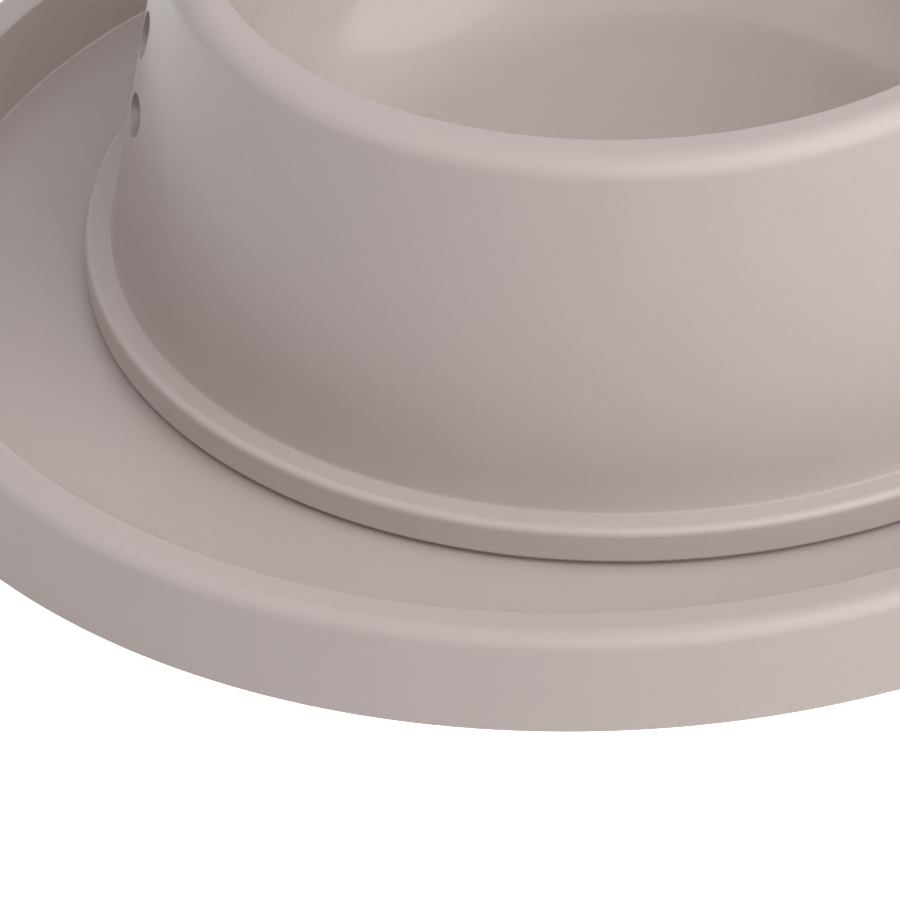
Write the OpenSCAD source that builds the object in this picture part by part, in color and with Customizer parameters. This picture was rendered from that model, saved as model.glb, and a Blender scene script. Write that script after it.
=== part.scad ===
// Double dog bowl: two skirted bowls that stand in one round-ended tray.
// Millimetres, +Z up. The origin is the centre of the tray's base, and the tray is long in X.

/* [Tray] */
// Floor left free between a bowl's foot and the tray's wall, at the sides
well_gap = 19.5; // [14:0.5:30]
// Width of the tray's raised rim at its foot
rim_w = 14.8; // [13:0.1:18]
// Height of the tray's raised rim above the table
rim_h = 15.2; // [12:0.2:20]
// Thickness of the tray's floor
floor_t = 2.4; // [2:0.1:3]
// Thickness of the tray's walls
tray_wall = 2.4; // [2:0.1:2.8]
// Lean of the outer wall from upright, in degrees
outer_lean = 15.5; // [8:0.5:18]
// Lean of the inner wall from upright, in degrees
inner_lean = 15; // [8:0.5:18]
// Round of the rim's outer edge
rim_outer_round = 3.4; // [2:0.2:3.8]
// Round of the rim's inner edge
rim_inner_round = 0.8; // [0.5:0.1:1.2]
// Fillet between the floor and the inner wall
well_fillet = 1.5; // [1:0.25:2.5]
// Thickness of the stiffening webs inside the rim
web_t = 1.8; // [1.4:0.1:2.4]
// Height of the webs' lower edge above the table
web_lift = 2; // [1:0.5:4]
// Number of webs round each end of the rim
end_webs = 6; // [4:1:9]
// Number of webs along each side of the rim
side_webs = 5; // [3:1:8]

/* [Bowls] */
// Outer radius of a bowl's foot flange
foot_r = 96; // [84:1:112]
// Gap between the two foot flanges
bowl_gap = 8; // [4:1:16]
// How far a bowl stands inwards of the centre of its end of the tray
bowl_inset = 9.4; // [6:0.2:12]
// Height of a bowl above the tray's floor
bowl_h = 66.5; // [60:0.5:80]
// Thickness of the moulded shell
shell_t = 2.5; // [2.2:0.1:2.8]
// Height of the top of the foot flange above the tray's floor
flange_top = 7; // [6:0.1:8.5]
// Shadow gap between the flange and the tray's floor
foot_gap = 0.5; // [0.3:0.1:1.2]
// Set-back of the foot ring from the flange's outer edge
foot_setback = 1.2; // [0.8:0.1:1.4]
// Round of the flange's upper edge
flange_round = 2.7; // [1.5:0.1:3]
// Round of the flange's lower edge
flange_under_round = 0.4; // [0.3:0.05:0.6]
// Width of the foot flange outside the skirt
flange_w = 5.4; // [4.5:0.1:8]
// Lean of the skirt from upright, in degrees
skirt_lean = 11.5; // [6:0.5:13]
// Height of the flare at the skirt's foot
flare_h = 6; // [4:0.5:9]
// Radius of that flare
flare_round = 22; // [18:1:40]
// Round of the upper rim's outer side
rim_round = 4.5; // [3.2:0.1:5.5]
// Width of the upper rim, from its outer side to the mouth's edge
lip_w = 7.7; // [6.6:0.1:10]
// Round of the mouth's edge
mouth_round = 0.6; // [0.4:0.1:1]
// Lean of the dish wall from upright, in degrees
dish_lean = 8; // [5:0.5:12]
// Height of the dish's bottom above the tray's floor
dish_bottom = 13; // [10:0.5:20]
// Round between the dish's wall and its bottom
dish_round = 26; // [16:1:30]

/* [Locating rings] */
// Height of the ring on the tray's floor that keeps a bowl in place
ring_h = 1.8; // [1.2:0.1:2.2]
// Width of that ring
ring_w = 2.2; // [1.6:0.1:4]
// Clearance between the ring and the inside of the bowl's foot
ring_clear = 1; // [0.5:0.1:2]

/* [Paw print] */
// Direction of the paw print from the bowl's axis, in degrees
paw_direction = 137; // [0:1:359]
// How far the print's heel pad lies below the middle of the skirt
paw_drop = 1.4; // [0:0.2:4]
// Tilt of the print, clockwise as seen from outside, in degrees
paw_tilt = 32; // [0:2:36]
// Width of a toe
toe_w = 7.6; // [6:0.2:9]
// Length of a toe
toe_l = 13.8; // [11:0.2:15]
// Distance of the outer toes' centres from the heel pad's centre
outer_toe_reach = 21.5; // [19:0.5:23]
// Distance of the inner toes' centres from the heel pad's centre
inner_toe_reach = 21; // [19:0.5:23]
// Width of the heel pad
pad_w = 19.5; // [16:0.5:22]

/* [Hidden] */
$fn = 144;
over = 1;
// How far a wall or a fillet reaches into the round or the wall that it meets
tuck = 0.002;
shell_colour = [0.69, 0.64, 0.62];
tray_colour = [0.71, 0.67, 0.65];

// Places of the two bowls and of the centres of the tray's round ends
bowl_x = foot_r + bowl_gap / 2;
end_x = bowl_x + bowl_inset;

// Radii of the tray's flat floor and of its outer wall's foot, at the round ends
well_r = foot_r + well_gap;
tray_r = well_r + rim_w;

// Walls of the tray's rim, as radius at a height
function outer_wall_r(z) = tray_r - z * tan(outer_lean);
function inner_wall_r(z) = well_r + (z - floor_t) * tan(inner_lean);
outer_skin = tray_wall / cos(outer_lean);
inner_skin = tray_wall / cos(inner_lean);
outer_round_z = rim_h - rim_outer_round;
outer_round_r = outer_wall_r(outer_round_z) - rim_outer_round / cos(outer_lean);
inner_round_z = rim_h - rim_inner_round;
inner_round_r = inner_wall_r(inner_round_z) + rim_inner_round / cos(inner_lean);
channel_top = rim_h - tray_wall;

// How far the edges of a web are sunk into the walls that it joins
web_root = web_t / 4;

// Outside of the bowl's skirt, as radius at a height above the tray's floor
skirt_r = foot_r - flange_w;
function skirt_wall_r(z) = skirt_r - (z - flange_top) * tan(skirt_lean);
rim_round_z = bowl_h - rim_round;
rim_round_r = skirt_wall_r(rim_round_z) - rim_round / cos(skirt_lean);
foot_inner_r = foot_r - shell_t;

// Flare that widens the skirt towards the flange
flare_z = flange_top + flare_h;
flare_centre = [skirt_wall_r(flare_z) + flare_round * cos(skirt_lean),
                flare_z + flare_round * sin(skirt_lean)];
function flare_r(z) = flare_centre[0] - sqrt(pow(flare_round, 2) - pow(flare_centre[1] - z, 2));

// Radius of the mouth where the dish's wall would meet the top of the rim
mouth_r = rim_round_r + rim_round - lip_w;

// Wall of the dish, as radius at a height above the tray's floor
function dish_wall_r(z) = mouth_r - (bowl_h - z) * tan(dish_lean);
dish_round_z = dish_bottom + dish_round;
dish_round_r = dish_wall_r(dish_round_z) - dish_round / cos(dish_lean);

// Shape of the paw print
outer_toe_angle = 58;
inner_toe_angle = 20;
outer_toe_turn = 30;
inner_toe_turn = 9;
toe_end_round = 0.37 * toe_w;
pad_lobe_r = 0.24 * pad_w;
pad_top_r = 0.31 * pad_w;
pad_rise = 0.12 * pad_w;
paw_cut_start = mouth_r + shell_t + over;
paw_h = (flange_top + rim_round_z) / 2 - paw_drop;

// Point at a distance and a direction from another point
function polar(c, r, a) = [c[0] + r * cos(a), c[1] + r * sin(a)];

// Filled fillet in the corner between a level face and a wall that leans towards the axis or away
module corner_fillet(level_z, wall_point, centre, radius) {
    difference() {
        polygon([[wall_point[0], level_z - over], [centre[0], level_z - over],
                 [centre[0], level_z], centre, wall_point]);
        translate(centre) circle(radius + tuck);
    }
}

// Section of the tray's raised rim, without its hollow
module rim_outline() {
    outer_centre = [outer_round_r, outer_round_z];
    inner_centre = [inner_round_r, inner_round_z];
    polygon([[inner_wall_r(0), 0], [outer_wall_r(0), 0],
             polar(outer_centre, rim_outer_round - tuck, outer_lean), outer_centre,
             [outer_round_r, rim_h], [inner_round_r, rim_h], inner_centre,
             polar(inner_centre, rim_inner_round - tuck, 180 - inner_lean)]);
    translate(outer_centre) circle(rim_outer_round);
    translate(inner_centre) circle(rim_inner_round);
}

// Section of the hollow under the rim, from a height upwards
module rim_channel(from_z, grow) {
    polygon([[inner_wall_r(from_z) + inner_skin - grow, from_z],
             [outer_wall_r(from_z) - outer_skin + grow, from_z],
             [outer_wall_r(channel_top) - outer_skin + grow, channel_top + grow],
             [inner_wall_r(channel_top) + inner_skin - grow, channel_top + grow]]);
}

module rim_section() {
    fillet_z = floor_t + well_fillet;
    fillet_centre = [inner_wall_r(fillet_z) - well_fillet / cos(inner_lean), fillet_z];
    difference() {
        union() {
            rim_outline();
            corner_fillet(floor_t, polar(fillet_centre, well_fillet, -inner_lean),
                          fillet_centre, well_fillet);
        }
        rim_channel(-over, 0);
    }
}

// Rectangle with round ends, as long as the tray
module round_ended(radius) {
    for (side = [-1, 1]) translate([side * end_x, 0]) circle(radius);
    square([2 * end_x, 2 * radius], center = true);
}

// One thin web across the hollow of the rim
module rim_web() {
    rotate([90, 0, 0]) linear_extrude(web_t, center = true) rim_channel(web_lift, web_root);
}

module end_rim() {
    web_step = 180 / end_webs;
    rotate(-90) rotate_extrude(angle = 180) rim_section();
    for (i = [0:end_webs - 1]) rotate(-90 + (i + 0.5) * web_step) rim_web();
}

module side_rim() {
    web_pitch = 2 * end_x / side_webs;
    rotate([90, 0, 90]) linear_extrude(2 * end_x, center = true) rim_section();
    for (i = [0:side_webs - 1])
        translate([-end_x + (i + 0.5) * web_pitch, 0, 0]) rotate(90) rim_web();
}

// Low ring on the tray's floor that stands inside the bowl's foot
module locating_ring() {
    ring_r = foot_inner_r - ring_clear;
    difference() {
        cylinder(r = ring_r, h = floor_t + ring_h);
        translate([0, 0, -over]) cylinder(r = ring_r - ring_w, h = floor_t + ring_h + 2 * over);
    }
}

module tray() {
    color(tray_colour) {
        linear_extrude(floor_t) round_ended(inner_wall_r(0) + inner_skin / 2);
        for (turn = [0, 180]) rotate(turn) {
            translate([end_x, 0, 0]) end_rim();
            side_rim();
            translate([bowl_x, 0, 0]) locating_ring();
        }
    }
}

// Dish hollow, grown by the thickness of the shell for its underside
module dish(grow) {
    centre = [dish_round_r, dish_round_z];
    top_z = bowl_h + over;
    polygon([[0, dish_bottom - grow], [dish_round_r, dish_bottom - grow], centre,
             polar(centre, dish_round + grow - tuck, -dish_lean),
             [dish_wall_r(top_z) + grow / cos(dish_lean), top_z], [0, top_z]]);
    translate(centre) circle(dish_round + grow);
}

// Corner that the round of the mouth's edge takes off
module mouth_edge() {
    round_z = bowl_h - mouth_round;
    centre = [dish_wall_r(round_z) + mouth_round / cos(dish_lean), round_z];
    top_z = bowl_h + over;
    difference() {
        polygon([polar(centre, mouth_round, 180 - dish_lean), centre, [centre[0], top_z],
                 [dish_wall_r(top_z) - over, top_z]]);
        translate(centre) circle(mouth_round + tuck);
    }
}

// Skirt and rim as one filled outline, moved inwards by the shell for the hollow side
module skirt_outline(shrink, from_z) {
    centre = [rim_round_r, rim_round_z];
    polygon([[0, from_z], [skirt_wall_r(from_z) - shrink / cos(skirt_lean), from_z],
             polar(centre, rim_round - shrink - tuck, skirt_lean), centre,
             [rim_round_r, bowl_h - shrink], [0, bowl_h - shrink]]);
    translate(centre) circle(rim_round - shrink);
}

// Flare between the skirt's straight wall and the top of the flange
module skirt_flare() {
    foot_z = flange_top - flange_round / 2;
    difference() {
        polygon([polar(flare_centre, flare_round, 180 + skirt_lean), [foot_inner_r - flange_w, foot_z],
                 [flare_r(foot_z), foot_z]]);
        translate(flare_centre) circle(flare_round + tuck);
    }
}

// Foot flange with a rounded edge, standing on a set-back ring
module flange_outline() {
    edge_r = foot_r - flange_round;
    under_r = foot_r - flange_under_round;
    translate([0, foot_gap]) square([under_r, flange_top - foot_gap - flange_round]);
    translate([0, foot_gap]) square([edge_r, flange_top - foot_gap]);
    translate([0, foot_gap + flange_under_round])
        square([foot_r, flange_top - foot_gap - flange_round - flange_under_round]);
    translate([edge_r, flange_top - flange_round]) circle(flange_round);
    translate([under_r, foot_gap + flange_under_round]) circle(flange_under_round);
    square([foot_r - foot_setback, flange_top - flange_round]);
}

module bowl_section() {
    difference() {
        union() {
            skirt_outline(0, foot_gap);
            skirt_flare();
            flange_outline();
        }
        difference() {
            union() {
                translate([0, -over]) square([foot_inner_r, flange_top - shell_t + over]);
                skirt_outline(shell_t, flange_top - shell_t - over);
            }
            dish(shell_t);
        }
        dish(0);
        mouth_edge();
    }
}

// Oval of four arcs, wide w and long l
module oval(w, l, end_r) {
    end_y = l / 2 - end_r;
    side_r = (w * w / 4 + end_y * end_y - end_r * end_r) / (w - 2 * end_r);
    side_x = side_r - w / 2;
    join_y = side_r * end_y / (side_r - end_r);
    for (side = [-1, 1]) translate([0, side * end_y]) circle(end_r + tuck);
    intersection() {
        translate([side_x, 0]) circle(side_r);
        translate([-side_x, 0]) circle(side_r);
        square([w + over, 2 * join_y], center = true);
    }
}

// Heel pad of overlapping rounds: one above, one at each side and one below
module heel_pad() {
    lobe_x = pad_w / 2 - pad_lobe_r;
    translate([0, pad_rise]) circle(pad_top_r);
    for (side = [-1, 1]) translate([side * lobe_x, -pad_rise]) circle(pad_lobe_r);
    translate([0, -pad_rise]) circle(pad_lobe_r);
}

module toe(reach, direction, turn) {
    rotate(-direction) translate([0, reach]) rotate(direction - turn) oval(toe_w, toe_l, toe_end_round);
}

module paw_print() {
    heel_pad();
    for (side = [-1, 1]) {
        toe(outer_toe_reach, side * outer_toe_angle, side * outer_toe_turn);
        toe(inner_toe_reach, side * inner_toe_angle, side * inner_toe_turn);
    }
}

// Paw print as a straight cut from the hollow of the skirt outwards
module paw_cut() {
    rotate(paw_direction) translate([paw_cut_start, 0, paw_h]) rotate([90, 0, 90])
        linear_extrude(foot_r - paw_cut_start) rotate(-paw_tilt) paw_print();
}

module bowl() {
    translate([0, 0, floor_t]) difference() {
        rotate_extrude() bowl_section();
        paw_cut();
    }
}

module left_bowl() {
    color(shell_colour) translate([-bowl_x, 0, 0]) bowl();
}

module right_bowl() {
    color(shell_colour) translate([bowl_x, 0, 0]) bowl();
}

tray();
left_bowl();
right_bowl();
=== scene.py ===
import math

import bmesh
import bpy
from mathutils import Matrix, Quaternion, Vector


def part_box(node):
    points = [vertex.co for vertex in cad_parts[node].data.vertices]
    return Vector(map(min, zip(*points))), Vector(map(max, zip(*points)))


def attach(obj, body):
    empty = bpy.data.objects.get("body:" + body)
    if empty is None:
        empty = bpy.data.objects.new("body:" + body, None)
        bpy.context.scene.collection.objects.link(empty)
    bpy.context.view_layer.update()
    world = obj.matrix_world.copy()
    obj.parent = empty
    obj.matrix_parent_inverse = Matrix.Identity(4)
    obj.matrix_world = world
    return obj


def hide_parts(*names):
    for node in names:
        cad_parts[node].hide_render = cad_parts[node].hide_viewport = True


bl_info = {
    "name": "Double dog bowl",
    "version": (1, 0, 0),
    "blender": (4, 5, 0),
    "location": "3D View > Sidebar > Dog bowl",
    "description": "Finishes a moulded double dog bowl and sets up its studio",
    "category": "Object",
}

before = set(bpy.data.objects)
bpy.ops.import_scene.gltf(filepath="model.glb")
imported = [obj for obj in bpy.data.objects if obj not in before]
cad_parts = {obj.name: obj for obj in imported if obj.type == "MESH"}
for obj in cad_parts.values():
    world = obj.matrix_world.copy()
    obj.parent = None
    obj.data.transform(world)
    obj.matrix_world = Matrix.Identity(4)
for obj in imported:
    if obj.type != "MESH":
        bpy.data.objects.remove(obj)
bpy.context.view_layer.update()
MM = 0.001
TRAY = "tray"
BOWLS = ("left_bowl", "right_bowl")

# From the frame: how far each bowl's axis is from the middle, and the height and radius of a foot
LEFT_LOW, LEFT_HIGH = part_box(BOWLS[0])
RIGHT_LOW, RIGHT_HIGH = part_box(BOWLS[1])
BOWL_X = (RIGHT_LOW.x + RIGHT_HIGH.x - LEFT_LOW.x - LEFT_HIGH.x) / 4
BOWL_FOOT = RIGHT_LOW.z
FOOT_RADIUS = RIGHT_HIGH.y

# Outer radius and height of the tray, and the centres of its round ends
TRAY_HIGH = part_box(TRAY)[1]
TRAY_RADIUS = TRAY_HIGH.y
TRAY_HEIGHT = TRAY_HIGH.z
END_X = TRAY_HIGH.x - TRAY_RADIUS

# How far in from the rim the swept section ends. Inside it the floor is filled in flat
FLOOR_REACH = 5 * MM

# Hidden side of the tray: webs inside the rim and rings that keep the bowls in place
WEB_THICKNESS = 1.8 * MM
WEB_LIFT = 2 * MM
WEB_ROOT = WEB_THICKNESS / 4
END_WEBS = 6
SIDE_WEBS = 5
RING_HEIGHT = 1.8 * MM
RING_WIDTH = 2.2 * MM
RING_SETBACK = 3.5 * MM

# Bowl: its height, the gap and the step back under its flange, and its hidden rounds
BOWL_HEIGHT = RIGHT_HIGH.z - RIGHT_LOW.z
FOOT_GAP = 0.9 * MM
FOOT_SETBACK = 1.2 * MM
FLANGE_UNDER_ROUND = 0.4 * MM
DISH_ROUND = 26 * MM

# Paw print, seen from outside: its place on the skirt, its toes and its pad. Each toe has its
# reach from the print's middle, its direction from upright and its own lean
PAW_DIRECTION = math.radians(137)
PAW_TILT = math.radians(32)
PAW_HEIGHT = 33.1 * MM
PAW_CUT_START = 75.1 * MM
TOE_WIDTH = 7.6 * MM
TOE_LENGTH = 13.8 * MM
TOES = (
    (21.5 * MM, math.radians(58), math.radians(30)),
    (21 * MM, math.radians(20), math.radians(9)),
    (21 * MM, math.radians(-20), math.radians(-9)),
    (21.5 * MM, math.radians(-58), math.radians(-30)),
)
PAD_WIDTH = 19.5 * MM
PAD_TOP_RADIUS = 0.31 * PAD_WIDTH
PAD_LOBE_RADIUS = 0.24 * PAD_WIDTH
PAD_RISE = 0.12 * PAD_WIDTH
CUT_SEGMENTS = 48

# Fineness of the rounds and of the turns
ROUND_STEPS = 12
END_STEPS = 120
SHARP_ANGLE = math.radians(25)
MERGE_DISTANCE = 0.001 * MM

# Clouding of the plastic: its size, and its share of the tone and of the roughness
CLOUD_SIZE = 12 * MM
UNEVENNESS = 0.018
GLOSS_UNEVENNESS = 0.08

# Noise patterns: their detail, and the range of values that nearly all of a pattern keeps within
NOISE_DETAIL = 3
NOISE_ROUGHNESS = 0.6
NOISE_LOW, NOISE_HIGH = 0.3, 0.7

# How deep the grain is on the shell and in the dish
SHELL_GRAIN = 0.008 * MM
DISH_GRAIN = 0.001 * MM

# Tiny dark specks in the dish: pitch of their pattern, largest radius, share of cells that stay
# empty, and how dark they are
SPECK_PITCH = 9 * MM
SPECK_SIZE = 0.35 * MM
SPECK_SHARE = 0.6
SPECK_DEPTH = 0.35

# How far past the dish's own faces the polish is looked for
POLISH_MARGIN = 0.5 * MM

# Share of the flare's full round, which leaves a short straight piece at its foot
FLARE_SHARE = 0.98

# What the camera aims at, beside the left bowl's axis, and what the lamps aim at, on that axis
AIM = Vector((-BOWL_X - 62.17 * MM, -32.97 * MM, BOWL_FOOT))
LAMP_AIM = Vector((-BOWL_X, 0, BOWL_FOOT))

# Square softboxes: name, azimuth and elevation in degrees, and strength
LAMPS = (
    ("front_high", 0, 42, 0.782),
    ("right_front_high", 45, 42, 0.605),
    ("back_left_high", 225, 42, 0.21),
    ("left_high", 270, 42, 0.179),
    ("back_top", 180, 68, 0.094),
)
LAMP_DISTANCE = 1.6
LAMP_SIZE = 1.8

# Studio floor: its own tone under the lamps, and the glow that makes it read white
FLOOR_TONE = 0.8
FLOOR_GLOW = 0.75

# Layout of the nodes in the editor: a stair of a few rows, again and again
NODE_WIDTH = 180
NODE_DROP = 60
NODE_ROWS = 5

# Nearest distance that the camera shows
CAMERA_NEAR = 10 * MM


class DogBowlSettings(bpy.types.PropertyGroup):
    """Sizes and colours that a user would change"""

    shell_colour: bpy.props.FloatVectorProperty(
        name="Shell colour", description="Colour of the bowls' textured plastic", subtype="COLOR",
        default=(0.499, 0.428, 0.411), min=0, max=1)
    tray_colour: bpy.props.FloatVectorProperty(
        name="Tray colour", description="Colour of the tray's textured plastic", subtype="COLOR",
        default=(0.482, 0.414, 0.397), min=0, max=1)
    dish_colour: bpy.props.FloatVectorProperty(
        name="Dish colour", description="Colour of the polished dish", subtype="COLOR",
        default=(0.494, 0.427, 0.403), min=0, max=1)
    shell_roughness: bpy.props.FloatProperty(
        name="Shell roughness", description="Roughness of the textured plastic",
        default=0.36, min=0, max=1, subtype="FACTOR")
    dish_roughness: bpy.props.FloatProperty(
        name="Dish roughness", description="Roughness of the polished dish",
        default=0.17, min=0, max=1, subtype="FACTOR")
    rim_width: bpy.props.FloatProperty(
        name="Rim width", description="Width of the tray's raised rim at its foot",
        default=14.8 * MM, min=10 * MM, max=25 * MM, unit="LENGTH")
    rim_outer_round: bpy.props.FloatProperty(
        name="Outer round", description="Round of the tray rim's outer edge",
        default=3.4 * MM, min=1 * MM, max=5 * MM, unit="LENGTH")
    rim_inner_round: bpy.props.FloatProperty(
        name="Inner round", description="Round of the tray rim's inner edge",
        default=0.8 * MM, min=0.2 * MM, max=3 * MM, unit="LENGTH")
    well_fillet: bpy.props.FloatProperty(
        name="Well fillet", description="Fillet between the tray's floor and its inner wall",
        default=0.5 * MM, min=0.2 * MM, max=5 * MM, unit="LENGTH")
    outer_lean: bpy.props.FloatProperty(
        name="Outer lean", description="Lean of the tray's outer wall from upright",
        default=math.radians(15.5), min=0, max=math.radians(30), subtype="ANGLE")
    inner_lean: bpy.props.FloatProperty(
        name="Inner lean", description="Lean of the tray's inner wall from upright",
        default=math.radians(15), min=0, max=math.radians(30), subtype="ANGLE")
    tray_wall: bpy.props.FloatProperty(
        name="Tray wall", description="Thickness of the tray's floor and walls",
        default=2.4 * MM, min=1 * MM, max=5 * MM, unit="LENGTH")
    shell_thickness: bpy.props.FloatProperty(
        name="Shell thickness", description="Thickness of the bowl's moulded shell",
        default=2.5 * MM, min=1 * MM, max=5 * MM, unit="LENGTH")
    flange_width: bpy.props.FloatProperty(
        name="Flange width", description="Width of the foot flange outside the skirt",
        default=4.75 * MM, min=2 * MM, max=12 * MM, unit="LENGTH")
    flange_height: bpy.props.FloatProperty(
        name="Flange height", description="Height of the foot flange's top above the foot",
        default=7 * MM, min=3 * MM, max=12 * MM, unit="LENGTH")
    flange_round: bpy.props.FloatProperty(
        name="Flange round", description="Round of the foot flange's upper edge",
        default=1.5 * MM, min=0.3 * MM, max=3 * MM, unit="LENGTH")
    skirt_lean: bpy.props.FloatProperty(
        name="Skirt lean", description="Lean of the skirt from upright",
        default=math.radians(12.1), min=0, max=math.radians(20), subtype="ANGLE")
    flare_radius: bpy.props.FloatProperty(
        name="Flare radius", description="Radius of the flare at the skirt's foot",
        default=1.5 * MM, min=0.5 * MM, max=40 * MM, unit="LENGTH")
    flare_height: bpy.props.FloatProperty(
        name="Flare height", description="Height of the flare at the skirt's foot",
        default=0.5 * MM, min=0.1 * MM, max=12 * MM, unit="LENGTH")
    rim_round: bpy.props.FloatProperty(
        name="Rim round", description="Round of the bowl rim's outer side",
        default=4.5 * MM, min=1 * MM, max=8 * MM, unit="LENGTH")
    mouth_round: bpy.props.FloatProperty(
        name="Mouth round", description="Round of the mouth's edge",
        default=0.6 * MM, min=0.1 * MM, max=3 * MM, unit="LENGTH")
    mouth_radius: bpy.props.FloatProperty(
        name="Mouth radius", description="Radius of the dish at its edge", default=71.6 * MM,
        min=60 * MM, max=80 * MM, unit="LENGTH")
    dish_lean: bpy.props.FloatProperty(
        name="Dish lean", description="Lean of the dish's wall from upright",
        default=math.radians(8), min=0, max=math.radians(20), subtype="ANGLE")
    dish_bottom: bpy.props.FloatProperty(
        name="Dish bottom", description="Height of the dish's bottom above the foot",
        default=13 * MM, min=5 * MM, max=30 * MM, unit="LENGTH")
    grain_size: bpy.props.FloatProperty(
        name="Grain size", description="Size of the moulded surface's fine grain",
        default=1.6 * MM, min=0.1 * MM, max=3 * MM, unit="LENGTH")
    floor_size: bpy.props.FloatProperty(
        name="Floor size", description="Width of the studio floor", default=60, min=5, max=100,
        unit="LENGTH")
    camera_distance: bpy.props.FloatProperty(
        name="Camera distance", description="Distance from the camera to the point it looks at",
        default=1.1564, min=0.3, max=10, unit="LENGTH")
    camera_lens: bpy.props.FloatProperty(
        name="Camera lens", description="Focal length of the camera", default=280, min=20,
        max=400, unit="CAMERA")
    camera_azimuth: bpy.props.FloatProperty(
        name="Camera azimuth", description="Direction of the camera round the object",
        default=math.radians(-32.1), subtype="ANGLE")
    camera_elevation: bpy.props.FloatProperty(
        name="Camera elevation", description="Height of the camera above the horizon",
        default=math.radians(35.797), subtype="ANGLE")
    camera_roll: bpy.props.FloatProperty(
        name="Camera roll", description="Turn of the camera about its own axis",
        default=math.radians(3.039), subtype="ANGLE")


def settings():
    """The scene's own sizes and colours"""
    return bpy.context.scene.dog_bowl


def direction_from(azimuth, elevation):
    """Direction from the object towards a camera or lamp, in radians as the views use them"""
    return Vector((math.sin(azimuth) * math.cos(elevation),
                   -math.cos(azimuth) * math.cos(elevation),
                   math.sin(elevation)))


def add_chain(bm, corners):
    """Wire through corners of radius, height and round, standing in the XZ plane"""
    verts = [bm.verts.new((radius, 0, height)) for radius, height, _ in corners]
    for pair in zip(verts, verts[1:]):
        bm.edges.new(pair)
    for vert, (_, _, rounding) in zip(verts, corners):
        if rounding:
            before, after = [edge.other_vert(vert).co - vert.co for edge in vert.link_edges]
            half_turn = (math.pi - before.angle(after)) / 2
            bmesh.ops.bevel(bm, geom=[vert], offset=rounding * math.tan(half_turn),
                            offset_type="OFFSET", segments=ROUND_STEPS, profile=0.5,
                            affect="VERTICES", material=-1)


def only(kind, geometry):
    """The vertices, edges or faces among mixed geometry"""
    return [item for item in geometry if isinstance(item, kind)]


def add_piece(name, bm, materials, node):
    """Object of a finished bmesh that stands for a CAD node"""
    bmesh.ops.recalc_face_normals(bm, faces=bm.faces)
    for face in bm.faces:
        face.smooth = True
    for edge in bm.edges:
        edge.smooth = edge.calc_face_angle(0) < SHARP_ANGLE
    mesh = bpy.data.meshes.new(name)
    bm.to_mesh(mesh)
    bm.free()
    for material in materials:
        mesh.materials.append(material)
    piece = bpy.data.objects.new(name, mesh)
    bpy.context.scene.collection.objects.link(piece)
    normals = piece.modifiers.new("flat_faces", "WEIGHTED_NORMAL")
    normals.keep_sharp = True
    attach(piece, "root")
    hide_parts(node)
    return piece


class TraySection:
    """Walls of the tray's rim, as radii about the centre of a round end"""

    def __init__(self):
        s = settings()
        self.s = s
        self.well = TRAY_RADIUS - s.rim_width
        self.outer_skin = s.tray_wall / math.cos(s.outer_lean)
        self.inner_skin = s.tray_wall / math.cos(s.inner_lean)
        self.hollow_top = TRAY_HEIGHT - s.tray_wall

    def outer(self, height):
        return TRAY_RADIUS - height * math.tan(self.s.outer_lean)

    def inner(self, height):
        return self.well + (height - self.s.tray_wall) * math.tan(self.s.inner_lean)

    def corners(self):
        """From the floor's top over the rim and through its hollow to the floor's underside"""
        s = self.s
        floor_edge = self.well - FLOOR_REACH
        return (
            (floor_edge, s.tray_wall, 0), (self.well, s.tray_wall, s.well_fillet),
            (self.inner(TRAY_HEIGHT), TRAY_HEIGHT, s.rim_inner_round),
            (self.outer(TRAY_HEIGHT), TRAY_HEIGHT, s.rim_outer_round),
            (self.outer(0), 0, 0), (self.outer(0) - self.outer_skin, 0, 0),
            (self.outer(self.hollow_top) - self.outer_skin, self.hollow_top, 0),
            (self.inner(self.hollow_top) + self.inner_skin, self.hollow_top, 0),
            (self.inner(0) + self.inner_skin, 0, 0), (floor_edge, 0, 0))

    def web_corners(self):
        low, high = WEB_LIFT, self.hollow_top
        inner, outer = self.inner_skin - WEB_ROOT, self.outer_skin - WEB_ROOT
        return ((self.inner(low) + inner, low), (self.outer(low) - outer, low),
                (self.outer(high) - outer, high + WEB_ROOT),
                (self.inner(high) + inner, high + WEB_ROOT))


def add_web(bm, corners, place):
    """Thin plate across the hollow of the rim, moved to its place by a matrix"""
    face = bm.faces.new([bm.verts.new((radius, -WEB_THICKNESS / 2, height))
                         for radius, height in corners])
    base = face.verts[:]
    grown = only(bmesh.types.BMVert, bmesh.ops.extrude_face_region(bm, geom=[face])["geom"])
    bmesh.ops.translate(bm, verts=grown, vec=(0, WEB_THICKNESS, 0))
    bmesh.ops.transform(bm, matrix=place, verts=base + grown)


def web_places():
    """Places of the webs: round both ends and along both sides"""
    for turn in (0, math.pi):
        half = Matrix.Rotation(turn, 4, "Z")
        for i in range(END_WEBS):
            angle = math.pi * ((i + 0.5) / END_WEBS - 0.5)
            yield half @ Matrix.Translation((END_X, 0, 0)) @ Matrix.Rotation(angle, 4, "Z")
        for i in range(SIDE_WEBS):
            along = END_X * ((2 * i + 1) / SIDE_WEBS - 1)
            yield half @ Matrix.Translation((along, 0, 0)) @ Matrix.Rotation(math.pi / 2, 4, "Z")


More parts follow.
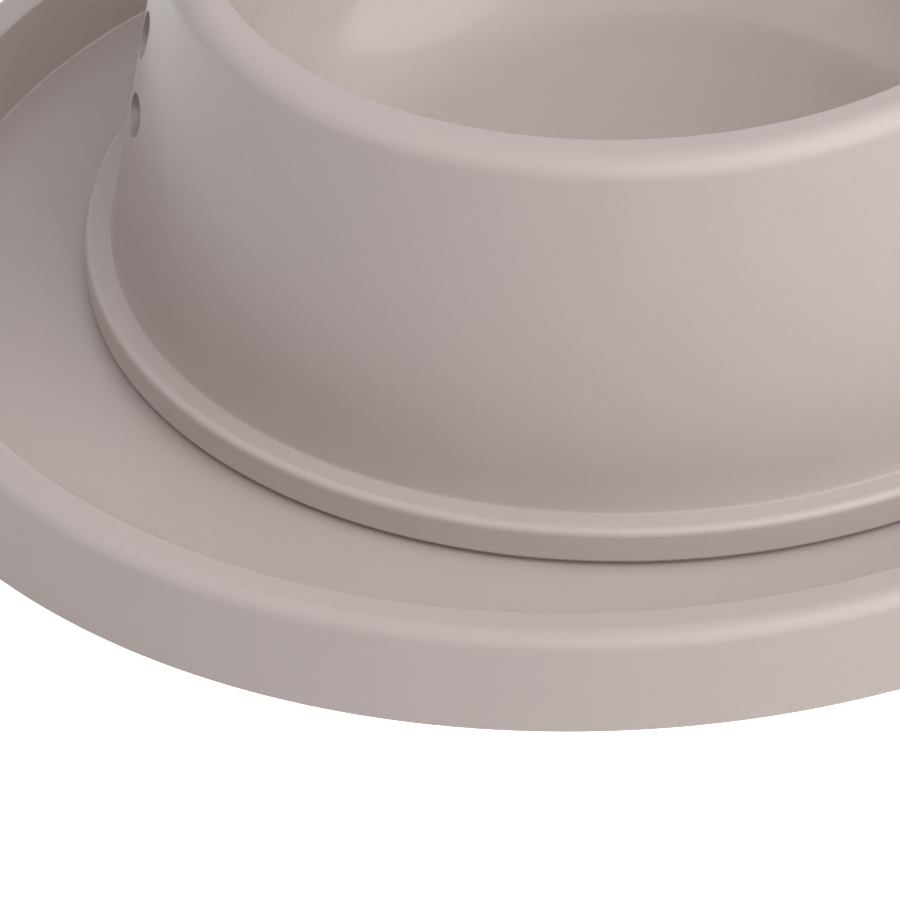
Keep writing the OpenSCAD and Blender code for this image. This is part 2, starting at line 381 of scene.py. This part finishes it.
def tray_mesh():
    """Rim swept round both ends and along both sides, with its floor, webs and rings"""
    section = TraySection()
    bm = bmesh.new()
    add_chain(bm, section.corners())
    bmesh.ops.rotate(bm, verts=bm.verts, matrix=Matrix.Rotation(-math.pi / 2, 3, "Z"))
    bmesh.ops.translate(bm, verts=bm.verts, vec=(END_X, 0, 0))
    last = bm.verts[:] + bm.edges[:]
    for side in (1, -1):
        last = bmesh.ops.spin(bm, geom=last, cent=(side * END_X, 0, 0), axis=(0, 0, 1),
                              angle=math.pi, steps=END_STEPS)["geom_last"]
        grown = bmesh.ops.extrude_edge_only(bm, edges=only(bmesh.types.BMEdge, last))["geom"]
        ends = only(bmesh.types.BMVert, grown)
        bmesh.ops.translate(bm, verts=ends, vec=(-2 * side * END_X, 0, 0))
        last = ends + [edge for edge in only(bmesh.types.BMEdge, grown)
                       if all(vert in ends for vert in edge.verts)]
    bmesh.ops.remove_doubles(bm, verts=bm.verts, dist=MERGE_DISTANCE)
    bmesh.ops.edgeloop_fill(bm, edges=[edge for edge in bm.edges if edge.is_boundary])
    for place in web_places():
        add_web(bm, section.web_corners(), place)
    add_rings(bm)
    return bm


def add_rings(bm):
    """Low ring on the tray's floor inside the foot of each bowl"""
    s = settings()
    radius = FOOT_RADIUS - RING_SETBACK
    low, high = s.tray_wall / 2, s.tray_wall + RING_HEIGHT
    for side in (1, -1):
        verts = [bm.verts.new((side * BOWL_X + r, 0, z)) for r, z in (
            (radius, low), (radius, high), (radius - RING_WIDTH, high), (radius - RING_WIDTH, low))]
        edges = [bm.edges.new((verts[i - 1], verts[i])) for i in range(4)]
        bmesh.ops.spin(bm, geom=verts + edges, cent=(side * BOWL_X, 0, 0), axis=(0, 0, 1),
                       angle=2 * math.pi, steps=2 * END_STEPS, use_merge=True)


def bowl_corners():
    """Section of the shell: over the dish, the rim and the skirt, and back underneath"""
    s = settings()
    t = s.shell_thickness
    skin, dish_skin = t / math.cos(s.skirt_lean), t / math.cos(s.dish_lean)
    skirt_radius = FOOT_RADIUS - s.flange_width

    def skirt(height):
        return skirt_radius - (height - s.flange_height) * math.tan(s.skirt_lean)

    def dish(height):
        return s.mouth_radius - (BOWL_HEIGHT - height) * math.tan(s.dish_lean)

    # The flare is an arc that meets the skirt at its upper end and the flange at its lower one
    top = s.flange_height + s.flare_height
    centre_radius = skirt(top) + s.flare_radius * math.cos(s.skirt_lean)
    rise = s.flare_height + s.flare_radius * math.sin(s.skirt_lean)
    foot_lean = math.asin(rise / s.flare_radius)
    flare_foot = centre_radius - s.flare_radius * math.cos(foot_lean)
    reach = s.flare_radius * math.tan((foot_lean - s.skirt_lean) / 2)
    hollow_top = BOWL_HEIGHT - t
    ring_radius = FOOT_RADIUS - FOOT_SETBACK
    foot_inner = FOOT_RADIUS - t
    low_dish = s.dish_bottom - t
    return (
        (0, s.dish_bottom, 0), (dish(s.dish_bottom), s.dish_bottom, DISH_ROUND),
        (s.mouth_radius, BOWL_HEIGHT, s.mouth_round),
        (skirt(BOWL_HEIGHT), BOWL_HEIGHT, s.rim_round),
        (flare_foot - reach * math.sin(foot_lean), s.flange_height + reach * math.cos(foot_lean),
         s.flare_radius * FLARE_SHARE),
        (flare_foot, s.flange_height, 0), (FOOT_RADIUS, s.flange_height, s.flange_round),
        (FOOT_RADIUS, FOOT_GAP, FLANGE_UNDER_ROUND), (ring_radius, FOOT_GAP, 0),
        (ring_radius, 0, 0), (foot_inner, 0, 0), (foot_inner, s.flange_height - t, 0),
        (skirt(s.flange_height - t) - skin, s.flange_height - t, 0),
        (skirt(hollow_top) - skin, hollow_top, s.rim_round - t),
        (dish(hollow_top) + dish_skin, hollow_top, 0),
        (dish(low_dish) + dish_skin, low_dish, DISH_ROUND + t), (0, low_dish, 0))


def paw_outlines():
    """Places and widths of the rounds and ovals that make up the print"""
    for reach, direction, turn in TOES:
        yield (Matrix.Rotation(-direction, 4, "Z") @ Matrix.Translation((0, reach, 0))
               @ Matrix.Rotation(direction - turn, 4, "Z")
               @ Matrix.Diagonal((TOE_WIDTH / 2, TOE_LENGTH / 2, 1, 1)))
    side = PAD_WIDTH / 2 - PAD_LOBE_RADIUS
    for x, y, radius in ((0, PAD_RISE, PAD_TOP_RADIUS), (-side, -PAD_RISE, PAD_LOBE_RADIUS),
                         (side, -PAD_RISE, PAD_LOBE_RADIUS), (0, -PAD_RISE, PAD_LOBE_RADIUS)):
        yield Matrix.Translation((x, y, 0)) @ Matrix.Diagonal((radius, radius, 1, 1))


def paw_cutter():
    """Prisms of the paw print, standing through the skirt"""
    bm = bmesh.new()
    outwards = Vector((math.cos(PAW_DIRECTION), math.sin(PAW_DIRECTION), 0))
    turned = (Matrix.Rotation(PAW_DIRECTION, 4, "Z")
              @ Matrix.Translation((PAW_CUT_START, 0, PAW_HEIGHT))
              @ Matrix.Rotation(math.pi / 2, 4, "Z") @ Matrix.Rotation(math.pi / 2, 4, "X")
              @ Matrix.Rotation(-PAW_TILT, 4, "Z"))
    for place in paw_outlines():
        made = bmesh.ops.create_circle(bm, cap_ends=True, segments=CUT_SEGMENTS, radius=1,
                                       matrix=turned @ place)["verts"]
        faces = list({face for vert in made for face in vert.link_faces})
        grown = bmesh.ops.extrude_face_region(bm, geom=faces)["geom"]
        bmesh.ops.translate(bm, verts=only(bmesh.types.BMVert, grown),
                            vec=outwards * (FOOT_RADIUS - PAW_CUT_START))
    bmesh.ops.recalc_face_normals(bm, faces=bm.faces)
    return bm


def scratch_object(bm):
    """Object for the cut only, which is removed after it"""
    mesh = bpy.data.meshes.new("scratch")
    bm.to_mesh(mesh)
    bm.free()
    piece = bpy.data.objects.new("scratch", mesh)
    bpy.context.scene.collection.objects.link(piece)
    return piece


def cut_away(bm, cutter_bm):
    """The bmesh with the cutter's forms taken out of it"""
    body, cutter = scratch_object(bm), scratch_object(cutter_bm)
    cut = body.modifiers.new("cut", "BOOLEAN")
    cut.operation = "DIFFERENCE"
    cut.solver = "EXACT"
    cut.use_self = True
    cut.object = cutter
    mesh = bpy.data.meshes.new_from_object(
        body.evaluated_get(bpy.context.evaluated_depsgraph_get()))
    result = bmesh.new()
    result.from_mesh(mesh)
    bpy.data.meshes.remove(mesh)
    for piece in (body, cutter):
        bpy.data.meshes.remove(piece.data)
    return result


def bowl_mesh():
    """Shell turned about its axis, with the paw print cut through the skirt"""
    bm = bmesh.new()
    add_chain(bm, bowl_corners())
    bmesh.ops.spin(bm, geom=bm.verts[:] + bm.edges[:], cent=(0, 0, 0), axis=(0, 0, 1),
                   angle=2 * math.pi, steps=2 * END_STEPS, use_merge=True)
    bmesh.ops.remove_doubles(bm, verts=bm.verts, dist=MERGE_DISTANCE)
    bmesh.ops.recalc_face_normals(bm, faces=bm.faces)
    return cut_away(bm, paw_cutter())


def polish_dish(bm):
    """Gives the faces of the dish, up to the round of its mouth, the second material"""
    s = settings()
    for face in bm.faces:
        centre = face.calc_center_median()
        below_mouth = BOWL_HEIGHT - centre.z
        wall = s.mouth_radius - below_mouth * math.tan(s.dish_lean)
        inside = centre.xy.length < wall + POLISH_MARGIN
        above = centre.z > s.dish_bottom - POLISH_MARGIN
        face.material_index = int(inside and above and below_mouth > s.mouth_round)


class NodeTree:
    """Adds nodes from left to right to a material or a world, and links them"""

    def __init__(self, tree):
        self.tree = tree
        self.column = 0

    def add(self, kind, links=None, **values):
        node = self.tree.nodes.new(kind)
        self.column += 1
        node.location = (NODE_WIDTH * self.column, -NODE_DROP * (self.column % NODE_ROWS))
        for name, value in values.items():
            setattr(node, name, value)
        for socket, source in (links or {}).items():
            if isinstance(source, bpy.types.NodeSocket):
                self.tree.links.new(source, node.inputs[socket])
            else:
                node.inputs[socket].default_value = source
        return node

    def math(self, operation, *terms):
        return self.add("ShaderNodeMath", dict(enumerate(terms)), operation=operation).outputs[0]


def new_material(name):
    """Empty material, and the tree that its nodes are added to"""
    material = bpy.data.materials.new(name)
    material.use_nodes = True
    material.node_tree.nodes.clear()
    return material, NodeTree(material.node_tree)


def grain(nodes, coordinates, size):
    """Soft noise of one size, with finer noise on it"""
    return nodes.add("ShaderNodeTexNoise", {
        "Vector": coordinates, "Scale": 1 / size, "Detail": NOISE_DETAIL,
        "Roughness": NOISE_ROUGHNESS}).outputs["Fac"]


def specks(nodes, coordinates):
    """1 in a few tiny specks, one in some of the cells of a coarse pattern, and 0 elsewhere"""
    cells = nodes.add("ShaderNodeTexVoronoi", {"Vector": coordinates, "Scale": 1 / SPECK_PITCH})
    size = nodes.add("ShaderNodeSeparateXYZ", {"Vector": cells.outputs["Color"]}).outputs["X"]
    reach = nodes.math("MULTIPLY", nodes.math("SUBTRACT", size, SPECK_SHARE),
                       SPECK_SIZE / SPECK_PITCH / (1 - SPECK_SHARE))
    return nodes.math("LESS_THAN", cells.outputs["Distance"], reach)


def moulded_plastic(name, colour, roughness, grain_height, speck_depth=0):
    """Plastic with a moulded grain, and a slight unevenness of its tone and its gloss"""
    s = settings()
    material, nodes = new_material(name)
    coordinates = nodes.add("ShaderNodeTexCoord").outputs["Object"]
    fine = grain(nodes, coordinates, s.grain_size)
    cloud = grain(nodes, coordinates, CLOUD_SIZE)
    tone = nodes.add("ShaderNodeMapRange", {
        "Value": nodes.math("ADD", fine, cloud), "From Min": 2 * NOISE_LOW, "From Max": 2 * NOISE_HIGH,
        "To Min": 1 - UNEVENNESS, "To Max": 1 + UNEVENNESS}).outputs["Result"]
    if speck_depth:
        tone = nodes.math("SUBTRACT", tone, nodes.math(
            "MULTIPLY", specks(nodes, coordinates), speck_depth))
    mixed = nodes.add("ShaderNodeVectorMath", {0: colour, "Scale": tone}, operation="SCALE")
    gloss = nodes.add("ShaderNodeMapRange", {
        "Value": cloud, "From Min": NOISE_LOW, "From Max": NOISE_HIGH,
        "To Min": (1 - GLOSS_UNEVENNESS) * roughness,
        "To Max": (1 + GLOSS_UNEVENNESS) * roughness}).outputs["Result"]
    bump = nodes.add("ShaderNodeBump", {"Strength": 1.0, "Distance": grain_height,
                                        "Height": fine})
    shader = nodes.add("ShaderNodeBsdfPrincipled", {
        "Base Color": mixed.outputs["Vector"], "Roughness": gloss,
        "Normal": bump.outputs["Normal"]})
    nodes.add("ShaderNodeOutputMaterial", {"Surface": shader.outputs["BSDF"]})
    return material


def clear_studio_factor(nodes):
    """1 for rays that see the studio itself: from the camera, a reflection or a clear piece"""
    path = nodes.add("ShaderNodeLightPath")
    return nodes.math("MAXIMUM", path.outputs["Is Camera Ray"], nodes.math(
        "MAXIMUM", path.outputs["Is Glossy Ray"], path.outputs["Is Transmission Ray"]))


def white_floor():
    """Floor that reads white to the eye and keeps a soft shadow"""
    material, nodes = new_material("studio_floor")
    seen = clear_studio_factor(nodes)
    diffuse = nodes.add("ShaderNodeBsdfDiffuse", {"Color": (FLOOR_TONE, FLOOR_TONE, FLOOR_TONE, 1)})
    glow = nodes.add("ShaderNodeEmission", {"Color": (1, 1, 1, 1), "Strength": nodes.math(
        "MULTIPLY", seen, FLOOR_GLOW)})
    both = nodes.add("ShaderNodeAddShader", {0: diffuse.outputs["BSDF"],
                                             1: glow.outputs["Emission"]})
    nodes.add("ShaderNodeOutputMaterial", {"Surface": both.outputs["Shader"]})
    return material


def white_world():
    """World that reads white to the eye and in reflections, and gives no light of its own"""
    world = bpy.data.worlds.new("studio")
    world.use_nodes = True
    world.node_tree.nodes.clear()
    nodes = NodeTree(world.node_tree)
    background = nodes.add("ShaderNodeBackground", {"Color": (1, 1, 1, 1),
                                                    "Strength": clear_studio_factor(nodes)})
    nodes.add("ShaderNodeOutputWorld", {"Surface": background.outputs["Background"]})
    return world


def add_lamp(name, azimuth, elevation, strength):
    """Softbox that faces the left bowl. At 1, a small one lights a facing white sheet to white"""
    direction = direction_from(math.radians(azimuth), math.radians(elevation))
    data = bpy.data.lights.new(name, "AREA")
    data.shape = "SQUARE"
    data.size = LAMP_SIZE
    data.energy = strength * (math.pi * LAMP_DISTANCE) ** 2
    lamp = bpy.data.objects.new(name, data)
    lamp.location = LAMP_AIM + direction * LAMP_DISTANCE
    lamp.rotation_euler = (-direction).to_track_quat("-Z", "Y").to_euler()
    bpy.context.scene.collection.objects.link(lamp)
    return lamp


class DOGBOWL_OT_tray(bpy.types.Operator):
    """Finishes the tray in textured plastic"""

    bl_idname = "dogbowl.tray"
    bl_label = "Finish the tray"

    def execute(self, context):
        s = settings()
        plastic = moulded_plastic("tray_plastic", s.tray_colour, s.shell_roughness, SHELL_GRAIN)
        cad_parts[TRAY].data.materials.clear()
        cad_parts[TRAY].data.materials.append(plastic)
        add_piece("tray_moulding", tray_mesh(), [plastic], TRAY)
        return {"FINISHED"}


class DOGBOWL_OT_bowls(bpy.types.Operator):
    """Finishes both bowls in textured plastic with a polished dish"""

    bl_idname = "dogbowl.bowls"
    bl_label = "Finish the bowls"

    def execute(self, context):
        s = settings()
        plastic = moulded_plastic("bowl_plastic", s.shell_colour, s.shell_roughness, SHELL_GRAIN)
        polished = moulded_plastic("dish_plastic", s.dish_colour, s.dish_roughness, DISH_GRAIN,
                                   SPECK_DEPTH)
        shell = bowl_mesh()
        polish_dish(shell)
        for name, side in zip(BOWLS, (-1, 1)):
            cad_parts[name].data.materials.clear()
            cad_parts[name].data.materials.append(plastic)
            bm = shell.copy()
            bmesh.ops.translate(bm, verts=bm.verts, vec=(side * BOWL_X, 0, BOWL_FOOT))
            add_piece(name + "_moulding", bm, [plastic, polished], name)
        shell.free()
        return {"FINISHED"}


class DOGBOWL_OT_studio(bpy.types.Operator):
    """Sets up the floor, the lamps and the camera"""

    bl_idname = "dogbowl.studio"
    bl_label = "Build the studio"

    def execute(self, context):
        s = settings()
        bpy.ops.mesh.primitive_plane_add(size=s.floor_size)
        floor = context.object
        floor.name = "studio_floor"
        floor.data.materials.append(white_floor())
        for lamp in LAMPS:
            add_lamp(*lamp)
        back = direction_from(s.camera_azimuth, s.camera_elevation)
        camera_data = bpy.data.cameras.new("camera")
        camera_data.lens = s.camera_lens
        camera_data.clip_start = CAMERA_NEAR
        camera_data.clip_end = s.floor_size
        camera = bpy.data.objects.new("camera", camera_data)
        camera.rotation_mode = "QUATERNION"
        camera.rotation_quaternion = ((-back).to_track_quat("-Z", "Y")
                                      @ Quaternion((0, 0, 1), -s.camera_roll))
        camera.location = AIM + back * s.camera_distance
        context.scene.collection.objects.link(camera)
        context.scene.camera = camera
        context.scene.world = white_world()
        context.scene.view_settings.view_transform = "Standard"
        return {"FINISHED"}


class DOGBOWL_PT_panel(bpy.types.Panel):
    """Lists the steps of the dog bowl"""

    bl_idname = "DOGBOWL_PT_panel"
    bl_label = "Dog bowl"
    bl_space_type = "VIEW_3D"
    bl_region_type = "UI"
    bl_category = "Dog bowl"

    def draw(self, context):
        for operator in OPERATORS:
            self.layout.operator(operator.bl_idname)


OPERATORS = (DOGBOWL_OT_tray, DOGBOWL_OT_bowls, DOGBOWL_OT_studio)
CLASSES = (DogBowlSettings, *OPERATORS, DOGBOWL_PT_panel)


def register():
    for cls in CLASSES:
        bpy.utils.register_class(cls)
    bpy.types.Scene.dog_bowl = bpy.props.PointerProperty(type=DogBowlSettings)


def unregister():
    del bpy.types.Scene.dog_bowl
    for cls in reversed(CLASSES):
        bpy.utils.unregister_class(cls)


def main():
    register()
    bpy.ops.dogbowl.tray()
    bpy.ops.dogbowl.bowls()
    bpy.ops.dogbowl.studio()


if __name__ == "__main__":
    main()
